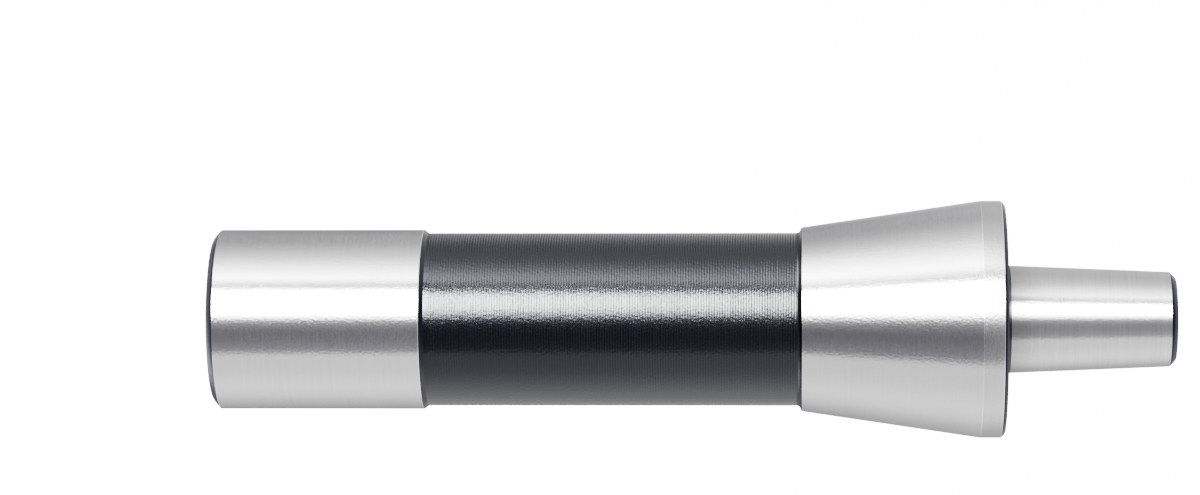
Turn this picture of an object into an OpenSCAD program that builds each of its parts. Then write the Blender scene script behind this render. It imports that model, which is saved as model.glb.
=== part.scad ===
// Drill chuck arbor, turned and ground from one bar.
// The axis is +Z. The drawbar end face is at z = 0 and the chuck nose points up.

/* [Locating bearing] */
// Diameter of the ground bearing that slides in the spindle bore
bearing_d = 24.11; // [24:0.01:26]
// Length from the drawbar end face to the step down to the neck
bearing_len = 28.3; // [20:0.1:40]
// Length of the lead-in chamfer on the end face, along the axis
lead_len = 0.9; // [0.3:0.1:2]
// Depth of the lead-in chamfer, across the axis
lead_depth = 1.1; // [0.3:0.1:2]

/* [Neck] */
// Diameter of the turned neck between the bearing and the taper
neck_d = 23.2; // [21:0.1:23.4]
// Length of the sloping step from the bearing to the neck
step_len = 0.6; // [0.3:0.1:3]
// Length of the steep shoulder from the neck out to the taper
shoulder_len = 0.4; // [0.2:0.05:2]
// Radius of the blend at the foot of the shoulder
shoulder_fillet = 0.5; // [0.2:0.05:1.2]

/* [Spindle taper] */
// Distance from the drawbar end face to the small end of the taper
taper_start = 79; // [70:0.1:95]
// Length of the taper
taper_len = 23.8; // [20:0.1:26]
// Diameter of the large end of the taper
taper_large_d = 31.75; // [31:0.05:34]
// Included angle of the taper, in degrees
taper_angle = 16.85; // [14:0.05:18]
// Length of the plain rim past the large end
rim_len = 2.75; // [1:0.05:8]
// Size of the 45 degree chamfer on the rim
rim_chamfer = 0.55; // [0.2:0.05:2]

/* [Chuck nose] */
// Diameter of the nose taper where it leaves the rim face
nose_root_d = 14.47; // [12:0.01:18]
// Length of the nose, from the rim face to its end
nose_len = 22.8; // [16:0.05:35]
// Diameter that the nose loses in each millimetre of its length
nose_rate = 0.0815; // [0.04:0.0005:0.1]
// Size of the 45 degree chamfer on the end of the nose
nose_chamfer = 0.85; // [0.2:0.05:1.5]
// Radius of the blend between the rim face and the nose
nose_fillet = 0.5; // [0.1:0.05:1.5]

/* [Drawbar hole] */
// Diameter of the hole drilled for the drawbar thread
drawbar_drill_d = 9.92; // [8:0.02:11]
// Depth of the drilled hole, up to the start of its point
drawbar_depth = 34; // [20:0.5:60]
// Included angle of the drill point, in degrees
drill_angle = 118; // [90:1:135]
// Diameter of the countersunk mouth
mouth_d = 13; // [11.5:0.1:16]
// Included angle of the countersunk mouth, in degrees
mouth_angle = 60; // [60:1:120]

/* [Keyway] */
// Width of the keyway
keyway_w = 4; // [3:0.05:5]
// Depth of the keyway below the bearing surface
keyway_depth = 2.4; // [1.5:0.05:3]
// Length of the keyway at full depth, from the end face
keyway_len = 65; // [45:0.5:68]
// Diameter of the cutter that leaves the run-out
keyway_cutter_d = 40; // [20:0.5:60]

/* [Nose centre] */
// Diameter of the mouth of the turning centre
centre_d = 5.3; // [4:0.05:7]
// Included angle of the turning centre, in degrees
centre_angle = 60; // [60:1:90]
// Diameter of the pilot hole
pilot_d = 2.5; // [1.5:0.05:3.5]
// Depth of the pilot hole, from the end of the nose
pilot_depth = 5.6; // [4.5:0.1:12]

/* [Hidden] */
$fn = 96;
// How far a cut runs past the surface it starts from
past = 1;

bearing_r = bearing_d / 2;
neck_r = neck_d / 2;
taper_large_r = taper_large_d / 2;
taper_small_r = taper_large_r - taper_len * tan(taper_angle / 2);
taper_end = taper_start + taper_len;
rim_face = taper_end + rim_len + rim_chamfer;
nose_end = rim_face + nose_len;

// Radius of the nose taper at height z
function nose_r(z) = nose_root_d / 2 - (z - rim_face) * nose_rate / 2;

// Length of a cone of a given included angle that closes from radius r to nothing
function cone_len(r, angle) = r / tan(angle / 2);

// Half of the turned outline, from the drawbar end face to the end of the nose
module outline() {
    polygon([
        [0, 0],
        [bearing_r - lead_depth, 0],
        [bearing_r, lead_len],
        [bearing_r, bearing_len],
        [neck_r, bearing_len + step_len],
        [neck_r, taper_start - shoulder_len],
        [taper_small_r, taper_start],
        [taper_large_r, taper_end],
        [taper_large_r, taper_end + rim_len],
        [taper_large_r - rim_chamfer, rim_face],
        [nose_r(rim_face), rim_face],
        [nose_r(nose_end - nose_chamfer), nose_end - nose_chamfer],
        [nose_r(nose_end - nose_chamfer) - nose_chamfer, nose_end],
        [0, nose_end]
    ]);
}

// Fills an inside corner at the origin to a radius. The two edges of the corner
// leave it at the angles a and b, counted from +X, and b is the larger.
module corner_blend(radius, a, b) {
    half = (b - a) / 2;
    reach = radius / tan(half);
    centre = radius / sin(half) * [cos(a + half), sin(a + half)];
    difference() {
        polygon([
            [0, 0],
            reach * [cos(a), sin(a)],
            centre,
            reach * [cos(b), sin(b)]
        ]);
        translate(centre) circle(r = radius);
    }
}

// The turned body, with the blends at the shoulder and at the nose
module turned_body() {
    shoulder_rise = atan2(shoulder_len, taper_small_r - neck_r);
    nose_lean = atan(nose_rate / 2);
    rotate_extrude() {
        outline();
        translate([neck_r, taper_start - shoulder_len])
            corner_blend(shoulder_fillet, -90, shoulder_rise);
        translate([nose_r(rim_face), rim_face])
            corner_blend(nose_fillet, 0, 90 + nose_lean);
    }
}

// Drilled hole for the drawbar thread, with its point and countersunk mouth
module drawbar_hole() {
    drill_r = drawbar_drill_d / 2;
    point_len = cone_len(drill_r, drill_angle);
    mouth_len = cone_len(mouth_d / 2, mouth_angle);
    translate([0, 0, -past]) cylinder(h = drawbar_depth + past, r = drill_r);
    translate([0, 0, drawbar_depth]) cylinder(h = point_len, r1 = drill_r, r2 = 0);
    cylinder(h = mouth_len, r1 = mouth_d / 2, r2 = 0);
}

// Keyway along the back, with the run-out of the cutter that milled it
module keyway() {
    floor_y = bearing_r - keyway_depth;
    cutter_r = keyway_cutter_d / 2;
    translate([-keyway_w / 2, floor_y, -past])
        cube([keyway_w, keyway_depth + past, keyway_len + past]);
    intersection() {
        translate([-keyway_w / 2, floor_y + cutter_r, keyway_len])
            rotate([0, 90, 0])
            cylinder(h = keyway_w, r = cutter_r);
        translate([-keyway_w / 2, floor_y, 0])
            cube([keyway_w, keyway_depth + past, taper_start]);
    }
}

// Turning centre in the end of the nose, with its pilot hole
module nose_centre() {
    mouth_len = cone_len(centre_d / 2, centre_angle);
    translate([0, 0, nose_end - mouth_len]) cylinder(h = mouth_len, r1 = 0, r2 = centre_d / 2);
    translate([0, 0, nose_end - pilot_depth]) cylinder(h = pilot_depth + past, r = pilot_d / 2);
}

module arbor() {
    color("silver") difference() {
        turned_body();
        drawbar_hole();
        keyway();
        nose_centre();
    }
}

arbor();
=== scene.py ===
"""Looks of a drill chuck arbor: ground steel and black oxide on one turned piece.

Sizes are in millimetres and angles in degrees until a mesh or a light is made.
The axis is +Z, the drawbar end face is at z = 0 and the keyway is on the +Y side.
"""
import math
import random

import bmesh
import bpy
from mathutils import Matrix, Vector


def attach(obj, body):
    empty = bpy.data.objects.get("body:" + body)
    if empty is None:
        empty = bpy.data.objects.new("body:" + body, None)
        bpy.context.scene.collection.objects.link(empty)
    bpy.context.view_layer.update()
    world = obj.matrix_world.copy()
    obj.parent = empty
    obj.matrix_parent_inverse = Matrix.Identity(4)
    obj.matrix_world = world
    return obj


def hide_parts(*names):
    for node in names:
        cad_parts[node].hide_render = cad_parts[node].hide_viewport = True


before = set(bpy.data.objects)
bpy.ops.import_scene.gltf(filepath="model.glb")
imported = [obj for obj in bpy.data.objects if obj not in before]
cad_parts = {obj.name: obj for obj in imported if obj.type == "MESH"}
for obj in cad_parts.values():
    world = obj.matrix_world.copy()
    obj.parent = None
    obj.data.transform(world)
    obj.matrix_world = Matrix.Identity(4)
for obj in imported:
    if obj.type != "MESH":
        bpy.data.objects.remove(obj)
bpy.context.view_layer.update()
MM = 0.001

# Locating bearing
BEARING_R = 24.11 / 2
BEARING_LEN = 28.3
LEAD_LEN = 0.9
LEAD_DEPTH = 1.1

# Neck
NECK_R = 23.2 / 2
STEP_LEN = 0.6
SHOULDER_LEN = 0.4
SHOULDER_FILLET = 0.5

# Feed marks on the neck. Their depth grows along it, as a share of what the tool's radius gives
GROOVE_PITCH = 0.35
GROOVE_TOOL_R = 0.8
GROOVE_START, GROOVE_END = 0.8, 1.5
GROOVE_SCATTER = 0.15
GROOVE_SEED = 31

# Spindle taper
TAPER_START = 79.0
TAPER_LEN = 23.8
TAPER_LARGE_R = 31.75 / 2
TAPER_ANGLE = 16.85
RIM_LEN = 2.75
RIM_CHAMFER = 0.55

# Chuck nose, with an unground band at its root and, past that, painted shade that darkens the steel
# towards the rim
NOSE_ROOT_R = 14.47 / 2
NOSE_LEN = 22.8
NOSE_RATE = 0.0815
NOSE_CHAMFER = 0.85
NOSE_FILLET = 0.5
NOSE_RELIEF = 0.7
NOSE_PAINTED_SHADE = 5.5

# Drawbar hole. A thread profile taller than its depth leaves a flat at the root
DRILL_R = 9.92 / 2
DRAWBAR_DEPTH = 34.0
DRILL_ANGLE = 118.0
MOUTH_R = 13.0 / 2
MOUTH_ANGLE = 60.0
THREAD_R = 11.11 / 2
THREAD_PITCH = 25.4 / 20
THREAD_LEN = 28.0
THREAD_PROFILE = 1.25

# Keyway
KEYWAY_W = 4.0
KEYWAY_DEPTH = 2.4
KEYWAY_LEN = 65.0
KEYWAY_CUTTER_R = 20.0

# Nose centre
CENTRE_R = 5.3 / 2
CENTRE_ANGLE = 60.0
PILOT_R = 2.5 / 2
PILOT_DEPTH = 5.6

# Edges, and the share of a chamfer's length at which black oxide meets its blued border
EDGE_BREAK = 0.05
CHAMFER_CROWN = 0.05
LEAD_OXIDE = 0.67
CHAMFER_BLUED = 0.34

# Columns of the mesh round the axis, outside and across the keyway
ROUND_COLUMNS = 104
KEYWAY_COLUMNS = 6

# Rings of the mesh in each groove, turn of thread, blend, chamfer and annulus
GROOVE_STEPS = 4
THREAD_STEPS = 8
FILLET_STEPS = 8
CHAMFER_STEPS = 6
FACE_STEPS = 4

# Edges bent more than this stay sharp, and points nearer than the weld, in metres, become one
SHARP_ANGLE = 13.0
WELD = 1e-7

# Slack where two radii are compared
SLACK = 1e-6

TAPER_END = TAPER_START + TAPER_LEN
TAPER_SMALL_R = TAPER_LARGE_R - TAPER_LEN * math.tan(math.radians(TAPER_ANGLE / 2))
RIM_FACE = TAPER_END + RIM_LEN + RIM_CHAMFER
NOSE_END = RIM_FACE + NOSE_LEN
LEAD_R = BEARING_R - LEAD_DEPTH

# Places of the finishes in the list of materials
GROUND, RIM, OXIDE, EDGE, TURNED, BLUED, NOSE = range(7)

# Noise of the finishes, in waves a metre. Along the axis, rings and dashes have each steel's own
RING_WAVES = 70.0
DASH_WAVES = 900.0
STEEL_GRAIN = 3000.0
BLOTCH_WAVES = (260.0, 260.0, 340.0)
TOOL_WAVES = (40.0, 40.0, 2900.0)

# Most of a noise lies between these, and tool marks fade in between narrower ones
NOISE_SPAN = (0.2, 0.8)
TOOL_SPAN = (0.38, 0.62)

# Heights of dashes and grain, where the rings of a steel finish are 1 high
DASH_HEIGHT = 0.6
GRAIN_HEIGHT = 4.0

# Refraction of oil and of dry oxide, the oil film's roughness, and what oil adds to the oxide's own
OIL_IOR = 1.43
OXIDE_IOR = 1.76
OIL_ROUGHNESS = 0.13
OILED_ROUGHNESS = 0.08

# Strengths of the lights
LAMP_LIGHT = 41.0
SHEET_LIGHT = 5.5
SIDE_LIGHT = 7.0
LOWER_LIGHT = 0.93
BACKDROP_LIGHT = 5.6
FLOOR_LIGHT = 4.2

# Light dimmer than the first strength is cool, and from the second on it is neutral
COOL_BELOW, NEUTRAL_FROM = 0.4, 1.0
COOL = (0.8, 0.775, 0.85)
NEUTRAL = (0.8, 0.8, 0.8)


def nose_r(z):
    """Radius of the nose taper at height z."""
    return NOSE_ROOT_R - (z - RIM_FACE) * NOSE_RATE / 2


def cone_len(radius, angle):
    """Length of a cone of a given included angle that closes from radius to nothing."""
    return radius / math.tan(math.radians(angle / 2))


def blend_reach(radius, angle):
    """How far from an inside corner of a given angle a blend of a given radius starts."""
    return radius / math.tan(math.radians(angle) / 2)


def keyway_floor(z):
    """Distance of the keyway's floor from the axis, with the cutter's run-out."""
    past = z - KEYWAY_LEN
    if past >= KEYWAY_CUTTER_R:
        return math.inf
    rise = KEYWAY_CUTTER_R - math.sqrt(KEYWAY_CUTTER_R ** 2 - max(past, 0.0) ** 2)
    return BEARING_R - KEYWAY_DEPTH + rise


def thread_r(z, turn):
    """Radius of the drawbar thread at height z and at a part of a turn."""
    if z > THREAD_LEN:
        return DRILL_R
    phase = 0.5 + 0.5 * math.cos(2 * math.pi * (z / THREAD_PITCH - turn))
    fade = min((THREAD_LEN - z) / THREAD_PITCH, 1.0)
    return DRILL_R + (THREAD_R - DRILL_R) * fade * min(THREAD_PROFILE * phase, 1.0)


class Outline:
    """Half of the turned outline, as rings of radius, height and finish from end to end."""

    def __init__(self, radius, height):
        self.rings = [(radius, height, OXIDE)]
        self.corners = set()

    def line(self, radius, height, finish, steps=1, broken=False):
        """A straight stretch. Where it is broken, its last edge gets a narrow bright facet."""
        r0, z0, _ = self.rings[-1]
        for k in range(1, steps + 1):
            t = k / steps
            self.rings.append((r0 + (radius - r0) * t, z0 + (height - z0) * t, finish))
        if broken:
            self.corners.add(len(self.rings) - 1)

    def chamfer(self, radius, height, first, second, share):
        """A slightly crowned chamfer, of the first finish up to a share of it and then the second."""
        r0, z0, _ = self.rings[-1]
        dr, dz = radius - r0, height - z0
        length = math.hypot(dr, dz)
        for k in range(1, CHAMFER_STEPS + 1):
            t = k / CHAMFER_STEPS
            proud = CHAMFER_CROWN * 4 * t * (1 - t) / length
            finish = first if t <= share else second
            self.rings.append((r0 + dr * t + dz * proud, z0 + dz * t - dr * proud, finish))

    def arc(self, centre, radius, start, end, finish):
        """A round stretch between two angles, counted from straight outward."""
        for k in range(1, FILLET_STEPS + 1):
            a = math.radians(start + (end - start) * k / FILLET_STEPS)
            r = centre[0] + radius * math.cos(a)
            z = centre[1] + radius * math.sin(a)
            self.rings.append((r, z, finish))

    def near(self, n, step):
        """Point of the outline a little before or after ring n."""
        (r0, z0, _), (r1, z1, _) = self.rings[n], self.rings[n + step]
        t = EDGE_BREAK / math.hypot(r1 - r0, z1 - z0)
        return r0 + (r1 - r0) * t, z0 + (z1 - z0) * t

    def finished(self):
        """The rings with their broken edges."""
        rings = []
        for n, ring in enumerate(self.rings):
            if n in self.corners:
                rings.append((*self.near(n, -1), ring[2]))
                rings.append((*self.near(n, 1), EDGE))
            else:
                rings.append(ring)
        return rings


def add_drawbar_hole(outline):
    """The tapped hole, from its point out to the countersunk mouth."""
    mouth_end = cone_len(MOUTH_R - DRILL_R, MOUTH_ANGLE)
    threads = (THREAD_LEN - mouth_end) / THREAD_PITCH
    outline.line(DRILL_R, DRAWBAR_DEPTH, OXIDE)
    outline.line(DRILL_R, THREAD_LEN, OXIDE)
    outline.line(DRILL_R, mouth_end, OXIDE, steps=round(threads * THREAD_STEPS))
    outline.line(MOUTH_R, 0.0, OXIDE, steps=2 * THREAD_STEPS)


def add_bearing(outline):
    """The end face, the lead-in chamfer, the ground bearing and the step behind it."""
    outline.line(LEAD_R, 0.0, OXIDE)
    outline.chamfer(BEARING_R, LEAD_LEN, OXIDE, BLUED, LEAD_OXIDE)
    outline.line(BEARING_R, BEARING_LEN, GROUND, broken=True)
    outline.line(NECK_R, BEARING_LEN + STEP_LEN, OXIDE)


def add_grooves(outline, end, rng):
    """Feed marks that the turning tool leaves along the neck, deeper towards the taper."""
    start = outline.rings[-1][1]
    count = round((end - start) / GROOVE_PITCH)
    depth = GROOVE_PITCH ** 2 / (8 * GROOVE_TOOL_R)
    for n in range(count):
        wear = GROOVE_START + (GROOVE_END - GROOVE_START) * (n / count) ** 2
        cut = depth * wear * rng.uniform(1 - GROOVE_SCATTER, 1 + GROOVE_SCATTER)
        for k in range(1, GROOVE_STEPS + 1):
            t = k / GROOVE_STEPS
            z = start + (end - start) * (n + t) / count
            # A parabola less its mean, so that the neck keeps its diameter
            outline.line(NECK_R + cut * ((2 * t - 1) ** 2 - 1 / 3), z, TURNED)


def add_neck(outline):
    """The turned neck, the blend at its end and the steep shoulder up to the taper."""
    shoulder_foot = TAPER_START - SHOULDER_LEN
    rise = math.degrees(math.atan2(SHOULDER_LEN, TAPER_SMALL_R - NECK_R))
    blend_start = shoulder_foot - blend_reach(SHOULDER_FILLET, 90 + rise)
    add_grooves(outline, blend_start, random.Random(GROOVE_SEED))
    centre = (NECK_R + SHOULDER_FILLET, blend_start)
    outline.arc(centre, SHOULDER_FILLET, 180, 90 + rise, OXIDE)
    outline.line(TAPER_SMALL_R, TAPER_START, OXIDE)


def add_taper(outline):
    """The ground taper, the plain rim and its chamfer."""
    outline.line(TAPER_LARGE_R, TAPER_END, GROUND, broken=True)
    outline.line(TAPER_LARGE_R, TAPER_END + RIM_LEN, RIM, broken=True)
    outline.chamfer(TAPER_LARGE_R - RIM_CHAMFER, RIM_FACE, BLUED, OXIDE, CHAMFER_BLUED)


def add_nose(outline):
    """The rim face, the blend at the root of the nose, its taper and its chamfer."""
    lean = math.degrees(math.atan(NOSE_RATE / 2))
    reach = blend_reach(NOSE_FILLET, 90 + lean)
    outline.line(NOSE_ROOT_R + reach, RIM_FACE, OXIDE, steps=FACE_STEPS)
    centre = (NOSE_ROOT_R + reach, RIM_FACE + NOSE_FILLET)
    outline.arc(centre, NOSE_FILLET, 270, 180 + lean, OXIDE)
    outline.line(nose_r(RIM_FACE + NOSE_RELIEF), RIM_FACE + NOSE_RELIEF, OXIDE)
    edge = NOSE_END - NOSE_CHAMFER
    outline.line(nose_r(edge), edge, NOSE)
    outline.chamfer(nose_r(edge) - NOSE_CHAMFER, NOSE_END, BLUED, OXIDE, CHAMFER_BLUED)


def add_nose_centre(outline):
    """The end face of the nose, the turning centre and its pilot hole."""
    outline.line(CENTRE_R, NOSE_END, OXIDE)
    outline.line(PILOT_R, NOSE_END - cone_len(CENTRE_R - PILOT_R, CENTRE_ANGLE), OXIDE)
    outline.line(PILOT_R, NOSE_END - PILOT_DEPTH, OXIDE)
    outline.line(0.0, NOSE_END - PILOT_DEPTH, OXIDE)


def arbor_outline():
    """The whole outline, from the drill point in the shank to the pilot hole in the nose."""
    outline = Outline(0.0, DRAWBAR_DEPTH + cone_len(DRILL_R, DRILL_ANGLE))
    for add in (add_drawbar_hole, add_bearing, add_neck, add_taper, add_nose, add_nose_centre):
        add(outline)
    return outline.finished()


def ring_points(radius, z):
    """Points of one ring, and which of them the keyway cuts.

    They go round the outside from one keyway edge to the other, then across the keyway.
    """
    half_gap = math.asin(KEYWAY_W / 2 / max(radius, LEAD_R))
    start, sweep = math.pi / 2 + half_gap, 2 * math.pi - 2 * half_gap
    threaded = radius < MOUTH_R + SLACK and z < DRAWBAR_DEPTH
    angles = [start + sweep * k / ROUND_COLUMNS for k in range(ROUND_COLUMNS + 1)]
    angles += [start + sweep + 2 * half_gap * k / KEYWAY_COLUMNS for k in range(KEYWAY_COLUMNS + 1)]
    points, cut = [], []
    for k, a in enumerate(angles):
        r = max(radius, thread_r(z, a / (2 * math.pi))) if threaded else radius
        y = r * math.sin(a)
        low = k > ROUND_COLUMNS and keyway_floor(z) < y
        points.append((r * math.cos(a) * MM, (keyway_floor(z) if low else y) * MM, z * MM))
        cut.append(low)
    return points, cut


def sleeve_faces(rings, cuts):
    """Faces between each ring and the next, with the finish of each. What is milled is black."""
    faces, finishes = [], []
    columns = len(cuts[0])
    for i in range(len(rings) - 1):
        a, b = i * columns, (i + 1) * columns
        for j in range(columns):
            n = (j + 1) % columns
            faces.append((a + j, a + n, b + n, b + j))
            milled = cuts[i][j] or cuts[i][n] or cuts[i + 1][j] or cuts[i + 1][n]
            finishes.append(OXIDE if milled else rings[i + 1][2])
    return faces, finishes


def weld_and_smooth(mesh):
    """Joins the points that lie together, and smooths the mesh but for its sharp edges."""
    bm = bmesh.new()
    bm.from_mesh(mesh)
    bmesh.ops.remove_doubles(bm, verts=bm.verts, dist=WELD)
    bmesh.ops.recalc_face_normals(bm, faces=bm.faces)
    for face in bm.faces:
        face.smooth = True
    for edge in bm.edges:
        edge.smooth = edge.calc_face_angle(math.pi) < math.radians(SHARP_ANGLE)
    bm.to_mesh(mesh)
    bm.free()


def lathe(name, rings, materials):
    """One closed mesh turned from the outline, with the keyway cut along it."""
    verts, cuts = [], []
    for radius, z, _ in rings:
        points, cut = ring_points(radius, z)
        verts += points
        cuts.append(cut)
    faces, finishes = sleeve_faces(rings, cuts)
    mesh = bpy.data.meshes.new(name)
    mesh.from_pydata(verts, [], faces)
    for material in materials:
        mesh.materials.append(material)
    mesh.polygons.foreach_set("material_index", finishes)
    weld_and_smooth(mesh)
    obj = bpy.data.objects.new(name, mesh)
    bpy.context.collection.objects.link(obj)
    return obj


class Nodes:
    """Short ways to add and join shader nodes."""

    def __init__(self, tree):
        self.tree = tree
        tree.nodes.clear()

    def join(self, output, target):
        self.tree.links.new(output, target)

    def give(self, socket, value):
        """Joins a socket to an output, or sets it to a plain value."""
        if isinstance(value, bpy.types.NodeSocket):
            self.join(value, socket)
        else:
            socket.default_value = value

    def math(self, operation, *values):
        node = self.tree.nodes.new("ShaderNodeMath")
        node.operation = operation
        for socket, value in zip(node.inputs, values):
            self.give(socket, value)
        return node.outputs[0]

    def total(self, *values):
        result = values[0]
        for value in values[1:]:
            result = self.math("ADD", result, value)
        return result

    def product(self, *values):
        result = values[0]
        for value in values[1:]:
            result = self.math("MULTIPLY", result, value)
        return result

    def rest(self, value):
        """What is left of 1."""
        return self.math("SUBTRACT", 1.0, value)

    def step(self, value, low, high, out_low=0.0, out_high=1.0):
        """A smooth step of value from low to high."""
        node = self.tree.nodes.new("ShaderNodeMapRange")
        node.interpolation_type = "SMOOTHSTEP"
        for name, given in (("Value", value), ("From Min", low), ("From Max", high),
                            ("To Min", out_low), ("To Max", out_high)):
            self.give(node.inputs[name], given)
        return node.outputs[0]

    def hump(self, value, centre, near, far, out_near=1.0, out_far=0.0):
        """A smooth step on both sides of a centre, by the distance from it."""
        distance = self.math("ABSOLUTE", self.math("SUBTRACT", value, centre))
        return self.step(distance, near, far, out_near, out_far)

    def split(self, place):
        """The three coordinates of a place or a direction."""
        node = self.tree.nodes.new("ShaderNodeSeparateXYZ")
        self.join(place, node.inputs[0])
        return node.outputs

    def noise(self, place, scale, detail=2.0, roughness=0.5):
        """Noise of the object's own place, with its waves a metre along each axis."""
        mapping = self.tree.nodes.new("ShaderNodeMapping")
        mapping.inputs["Scale"].default_value = scale
        self.join(place, mapping.inputs["Vector"])
        noise = self.tree.nodes.new("ShaderNodeTexNoise")
        noise.inputs["Scale"].default_value = 1.0
        noise.inputs["Detail"].default_value = detail
        noise.inputs["Roughness"].default_value = roughness
        self.join(mapping.outputs[0], noise.inputs["Vector"])
        return noise.outputs["Fac"]

    def mix(self, factor, a, b):
        """A colour between a and b."""
        node = self.tree.nodes.new("ShaderNodeMix")
        node.data_type = "RGBA"
        self.join(factor, node.inputs["Factor"])
        node.inputs["A"].default_value = (*a, 1.0)
        node.inputs["B"].default_value = (*b, 1.0)
        return node.outputs["Result"]

    def bump(self, height, distance):
        """Normals of a relief whose height of 1 stands for a distance."""
        node = self.tree.nodes.new("ShaderNodeBump")
        node.inputs["Strength"].default_value = 1.0
        node.inputs["Distance"].default_value = distance * MM
        self.join(height, node.inputs["Height"])
        return node.outputs[0]


def even(value):
    """Three equal parts: a grey, or a scale that is the same along every axis."""
    return (value, value, value)


def new_material(name):
    material = bpy.data.materials.new(name)
    material.use_nodes = True
    nodes = Nodes(material.node_tree)
    shader = nodes.tree.nodes.new("ShaderNodeBsdfPrincipled")
    output = nodes.tree.nodes.new("ShaderNodeOutputMaterial")
    nodes.join(shader.outputs[0], output.inputs["Surface"])
    place = nodes.tree.nodes.new("ShaderNodeTexCoord").outputs["Object"]
    return material, nodes, shader, place


def brush(nodes, shader, amount):
    """Draws reflections out across the rings that run round the axis."""
    quarter_turn = 0.25
    shader.inputs["Anisotropic"].default_value = amount
    shader.inputs["Anisotropic Rotation"].default_value = quarter_turn
    tangent = nodes.tree.nodes.new("ShaderNodeTangent")
    tangent.direction_type = "RADIAL"
    tangent.axis = "Z"
    nodes.join(tangent.outputs[0], shader.inputs["Tangent"])


def steel(name, dark, light, rough, lines, depth, brushed, painted_shade=None):
    """Bare steel with fine rings round the axis, left by a wheel or a tool.

    Lines are the rings' waves a metre along the axis. Between the two heights it is given,
    a painted shade darkens the colour towards the lower one, beside a shoulder.
    """
    material, nodes, shader, place = new_material(name)
    shader.inputs["Metallic"].default_value = 1.0
    brush(nodes, shader, brushed)
    rings = nodes.noise(place, (RING_WAVES, RING_WAVES, lines), detail=4.0, roughness=0.7)
    dashes = nodes.noise(place, (DASH_WAVES, DASH_WAVES, lines))
    grain = nodes.noise(place, even(STEEL_GRAIN), detail=1.0)
    shade = rings
    # Painted shade beside a shoulder: the colour goes darker towards the lower height
    if painted_shade:
        height = nodes.split(place)[2]
        shade = nodes.product(rings, nodes.step(height, painted_shade[0] * MM, painted_shade[1] * MM))
    nodes.join(nodes.mix(shade, even(dark), even(light)), shader.inputs["Base Color"])
    nodes.join(nodes.step(dashes, *NOISE_SPAN, *rough), shader.inputs["Roughness"])
    relief = nodes.total(rings, nodes.product(dashes, DASH_HEIGHT), nodes.product(grain, GRAIN_HEIGHT))
    nodes.join(nodes.bump(relief, depth), shader.inputs["Normal"])
    return material


def ground_steel():
    """The bearing and the spindle taper."""
    return steel("ground_steel", 0.57, 0.67, rough=(0.19, 0.25), lines=5200.0, depth=0.003, brushed=0.85)


def turned_rim():
    """The plain rim past the taper."""
    return steel("turned_rim", 0.51, 0.61, rough=(0.23, 0.29), lines=3600.0, depth=0.003, brushed=0.75)


def polished_edge():
    """The narrow facets of the broken edges."""
    return steel("polished_edge", 0.76, 0.84, rough=(0.2, 0.24), lines=5200.0, depth=0.002, brushed=0.6)


def ground_nose():
    """The chuck taper, more coarsely ground, with painted shade darkening it towards the rim."""
    return steel("ground_nose", 0.49, 0.75, rough=(0.27, 0.31), lines=5200.0, depth=0.003, brushed=1.0,
                 painted_shade=(RIM_FACE, RIM_FACE + NOSE_PAINTED_SHADE))


def black_oxide(name, dark, light, tint, rough, fine, depth, bands=0.0, oiled=False):
    """Blue-black oxide over steel, with a grain of its own and perhaps an oil film.

    Fine is the grain's waves a metre, and bands adds to the roughness in rings that
    a tool left.
    """
    material, nodes, shader, place = new_material(name)
    shader.inputs["IOR"].default_value = OIL_IOR if oiled else OXIDE_IOR
    shader.inputs["Coat Weight"].default_value = 1.0 if oiled else 0.0
    shader.inputs["Coat IOR"].default_value = OIL_IOR
    shader.inputs["Coat Roughness"].default_value = OIL_ROUGHNESS
    shader.inputs["Specular Tint"].default_value = (*tint, 1.0)
    blotch = nodes.noise(place, BLOTCH_WAVES, detail=3.0, roughness=0.6)
    nodes.join(nodes.mix(blotch, dark, light), shader.inputs["Base Color"])
    roughness = nodes.step(blotch, *NOISE_SPAN, *rough)
    if bands:
        rings = nodes.noise(place, TOOL_WAVES, roughness=0.6)
        roughness = nodes.total(roughness, nodes.step(rings, *TOOL_SPAN, 0.0, bands))
    if oiled:
        roughness = nodes.total(roughness, OILED_ROUGHNESS)
    nodes.join(roughness, shader.inputs["Roughness"])
    relief = nodes.bump(nodes.noise(place, even(fine)), depth)
    nodes.join(relief, shader.inputs["Normal"])
    nodes.join(relief, shader.inputs["Coat Normal"])
    return material


def plain_oxide(name, tint):
    """Smooth oxide without oil, which reflects with a tint."""
    return black_oxide(name, (0.002, 0.0035, 0.01), (0.004, 0.007, 0.018), tint,
                       rough=(0.19, 0.25), fine=2600.0, depth=0.0015)


def dry_oxide():
    """Dry oxide on the end faces, in the holes and in the keyway."""
    return plain_oxide("black_oxide", (0.98, 0.95, 1.0))


def blued_edge():
    """The bluer border of the oxide on the chamfers."""
    return plain_oxide("blued_edge", (0.38, 0.48, 0.85))


def turned_oxide():
    """Oiled oxide on the turned neck."""
    return black_oxide("turned_oxide", (0.0053, 0.0058, 0.0092), (0.0075, 0.0085, 0.0135),
                       (0.84, 0.905, 1.02), rough=(0.1, 0.14), fine=2800.0, depth=0.026,
                       bands=0.06, oiled=True)


def build_arbor():
    """The dressed arbor. Its materials are in the order of their places, from GROUND to NOSE."""
    materials = [ground_steel(), turned_rim(), dry_oxide(), polished_edge(), turned_oxide(),
                 blued_edge(), ground_nose()]
    arbor = lathe("arbor_body", arbor_outline(), materials)
    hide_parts("arbor")
    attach(arbor, "root")


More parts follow.
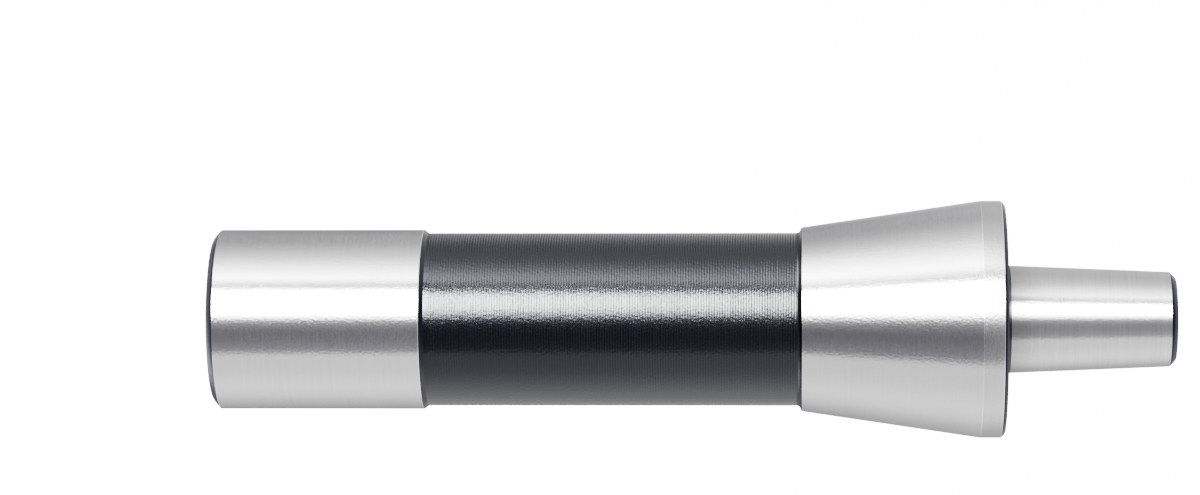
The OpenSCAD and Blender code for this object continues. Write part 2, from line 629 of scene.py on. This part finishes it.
def floor():
    """A plain white floor that shines softly, so that hardly a shadow falls on it."""
    # Half its width, in metres
    half = 6.0
    mesh = bpy.data.meshes.new("floor")
    corners = [(-half, -half, 0.0), (half, -half, 0.0), (half, half, 0.0), (-half, half, 0.0)]
    mesh.from_pydata(corners, [], [(0, 1, 2, 3)])
    obj = bpy.data.objects.new("floor", mesh)
    bpy.context.collection.objects.link(obj)
    material = bpy.data.materials.new("floor_white")
    material.use_nodes = True
    shader = material.node_tree.nodes["Principled BSDF"]
    shader.inputs["Base Color"].default_value = (*even(0.85), 1.0)
    shader.inputs["Roughness"].default_value = 0.9
    shader.inputs["Specular IOR Level"].default_value = 0.0
    shader.inputs["Emission Color"].default_value = (*even(1.0), 1.0)
    shader.inputs["Emission Strength"].default_value = FLOOR_LIGHT
    mesh.materials.append(material)
    obj.visible_glossy = False
    obj.visible_diffuse = False


class Sky(Nodes):
    """Soft light from all round, told apart by two angles in degrees.

    Turn is 0 towards the camera and grows towards the top of the picture. Lift is
    0 across the axis and 90 along it, past the nose. Each step below is a share of
    a light that changes between two of these angles.
    """

    def __init__(self, tree):
        super().__init__(tree)
        way = tree.nodes.new("ShaderNodeTexCoord").outputs["Generated"]
        x, self.away, z = self.split(way)
        to_camera = self.product(self.away, -1.0)
        to_top = self.product(x, -1.0)
        self.turn = self.math("DEGREES", self.math("ARCTAN2", to_top, to_camera))
        self.lift = self.math("DEGREES", self.math("ARCSINE", z))
        self.gap_turn = self.math("SUBTRACT", self.turn, self.gap_shift())

    def gap_shift(self):
        """How much later, by lift, the dark gap between lamp and upper sheet comes."""
        on_neck = self.hump(self.lift, -1.2, 1.0, 4.5, 3.5, 0.0)
        on_taper = self.step(self.lift, -15.0, -8.0, -1.5, 0.0)
        on_nose = self.step(self.lift, 2.0, 5.0, 0.0, -1.0)
        return self.total(on_neck, on_taper, on_nose)

    def lamp(self):
        """The lamp just above the camera, which gives every round surface its brightest band."""
        full_from = self.hump(self.lift, -1.7, 1.5, 3.8, 16.0, 21.5)
        start = self.step(self.turn, -2.4, full_from)
        end = self.step(self.gap_turn, 30.8, 39.8, 1.0, 0.0)
        drawbar_side = self.step(self.lift, -27.0, -15.0, 0.1, 1.0)
        nose_side = self.step(self.lift, -2.0, 7.0, 1.0, 0.3)
        past_nose = self.step(self.lift, 15.0, 34.0, 1.0, 0.35)
        return self.product(start, end, drawbar_side, nose_side, past_nose, LAMP_LIGHT)

    def upper_sheet(self):
        """The sheet past the lamp, brightest where it starts and fainter the further back."""
        off_bearing = self.hump(self.lift, -5.0, 3.0, 12.0, 0.0, 3.5)
        start = self.step(self.total(self.gap_turn, off_bearing), 43.0, 51.5)
        past = self.math("DIVIDE", self.math("SUBTRACT", self.turn, 54.0), 19.0)
        fall = self.math("DIVIDE", SHEET_LIGHT, self.total(self.product(past, past), 1.0))
        drawbar_side = self.step(self.lift, -34.0, -18.0, 0.4, 1.0)
        past_nose = self.step(self.lift, 15.0, 34.0, 1.0, 0.5)
        nose_front = self.step(self.lift, -3.0, 7.0, 1.0, 0.35)
        nose_back = self.product(self.step(self.lift, -3.0, 7.0, 0.0, 0.65),
                                 self.step(self.turn, 80.0, 108.0, 0.0, 0.85))
        back = self.step(self.turn, 108.0, 145.0, 1.0, 0.5)
        return self.product(start, fall, drawbar_side, past_nose, self.total(nose_front, nose_back), back)

    def lower_sheet(self):
        """The sheet below the camera, dimmer far down and towards the nose."""
        end = self.step(self.turn, -190.0, -112.0)
        start = self.step(self.turn, -48.0, -41.0, 1.0, 0.0)
        far_down = self.product(self.step(self.turn, -150.0, -110.0, 1.0, 0.0),
                                self.step(self.lift, 0.0, 4.5, 0.2, 0.58))
        nose_side = self.product(self.step(self.turn, -115.0, -75.0, 1.0, 0.0),
                                 self.step(self.lift, 0.0, 4.5, 0.0, 0.2))
        return self.product(end, start, LOWER_LIGHT, self.rest(self.total(far_down, nose_side)))

    def spill(self):
        """Faint light at the sheets' edges and between them, from far down to the back."""
        far_down = self.hump(self.turn, -98.0, 0.0, 34.0, 0.3, 0.0)
        below_camera = self.product(self.step(self.turn, -48.0, -41.0),
                                    self.step(self.turn, -44.0, -18.0, 0.12, 0.0))
        camera = self.hump(self.turn, -1.0, 0.0, 16.0, 0.2, 0.0)
        sheet_edge = self.hump(self.turn, 55.0, 0.0, 4.0, 1.2, 0.0)
        back = self.step(self.turn, 108.0, 140.0, 0.0, 0.32)
        return self.total(far_down, below_camera, camera, sheet_edge, back)

    def neck_streak(self):
        """A streak high at the back, at the lift that only the neck reflects."""
        on_neck = self.hump(self.lift, -1.0, 1.5, 3.5, 0.4, 0.0)
        start = self.step(self.turn, 80.0, 110.0)
        end = self.step(self.turn, 125.0, 150.0, 1.0, 0.1)
        return self.product(on_neck, start, end)

    def bearing_shade(self):
        """A shade high at the back, at the lift that only the bearing reflects."""
        on_bearing = self.hump(self.lift, -5.4, 1.5, 4.5, 0.38, 0.0)
        return self.product(on_bearing, self.step(self.turn, 92.0, 125.0))

    def ring_light(self):
        """Light from all directions across the axis."""
        fill = self.step(self.lift, -5.0, 11.0, 0.255, 0.64)
        lights = self.total(fill, self.lamp(), self.upper_sheet(), self.lower_sheet(),
                            self.spill(), self.neck_streak())
        behind = self.step(self.turn, 164.0, 177.0, 0.0, 0.4)
        return self.total(self.product(lights, self.rest(self.bearing_shade())), behind)

    def side_lamp(self):
        """A lamp on the drawbar side, which draws the line along the shoulder's blend."""
        by_lift = self.hump(self.lift, -35.0, 9.0, 18.0, 1.0, 0.0)
        start = self.step(self.turn, 42.0, 50.0)
        end = self.step(self.turn, 75.0, 105.0, 1.0, 0.0)
        return self.product(by_lift, start, end, SIDE_LIGHT)

    def end_light(self):
        """Light along the axis, dim on the camera's side, with a brighter flank past the nose."""
        flank = self.product(self.step(self.lift, 40.0, 48.0), self.step(self.lift, 58.0, 68.0, 0.9, 0.0))
        ends = self.math("MAXIMUM", self.step(self.away, -0.15, 0.15, 0.3, 1.2), flank)
        below = self.product(self.step(self.turn, -60.0, 60.0, 1.4, 0.0),
                             self.hump(self.lift, -45.0, 5.0, 28.0, 1.0, 0.0))
        return self.product(ends, self.total(below, 1.0))

    def light(self):
        """All the light that falls on the arbor."""
        along = self.hump(self.lift, 0.0, 30.0, 55.0, 0.0, 1.0)
        across = self.rest(along)
        return self.total(self.product(self.ring_light(), across),
                          self.product(self.end_light(), along), self.side_lamp())


def studio():
    """The lights, and a plain white backdrop that only the camera sees."""
    world = bpy.data.worlds.new("studio")
    bpy.context.scene.world = world
    world.use_nodes = True
    sky = Sky(world.node_tree)
    seen = sky.tree.nodes.new("ShaderNodeLightPath").outputs["Is Camera Ray"]
    strength = sky.total(sky.product(seen, BACKDROP_LIGHT), sky.product(sky.rest(seen), sky.light()))
    warmth = sky.step(strength, COOL_BELOW, NEUTRAL_FROM)
    background = sky.tree.nodes.new("ShaderNodeBackground")
    sky.join(strength, background.inputs["Strength"])
    sky.join(sky.mix(warmth, COOL, NEUTRAL), background.inputs["Color"])
    output = sky.tree.nodes.new("ShaderNodeOutputWorld")
    sky.join(background.outputs[0], output.inputs["Surface"])


def camera():
    """The photograph's camera: level with the arbor's middle, with its top towards -X."""
    distance, height = 606.2, 78.04
    yaw, pitch = -0.0431, 0.0159
    focal_px, width_px, sensor = 4510.7, 1200, 36.0
    ahead = Vector((0.0, math.cos(yaw), math.sin(yaw)))
    right = Vector((0.0, -math.sin(yaw), math.cos(yaw)))
    top = Vector((-1.0, 0.0, 0.0))
    forward = math.cos(pitch) * ahead + math.sin(pitch) * top
    up = math.cos(pitch) * top - math.sin(pitch) * ahead
    data = bpy.data.cameras.new("camera")
    data.sensor_width = sensor
    data.lens = focal_px * sensor / width_px
    data.clip_start = 0.01
    data.clip_end = 100.0
    obj = bpy.data.objects.new("camera", data)
    turn = Matrix((right, up, -forward)).transposed().to_4x4()
    obj.matrix_world = Matrix.Translation(Vector((0.0, -distance, height)) * MM) @ turn
    bpy.context.collection.objects.link(obj)
    bpy.context.scene.camera = obj


camera()
build_arbor()
floor()
studio()
bpy.context.scene.view_settings.view_transform = "AgX"
bpy.context.scene.view_settings.look = "AgX - High Contrast"
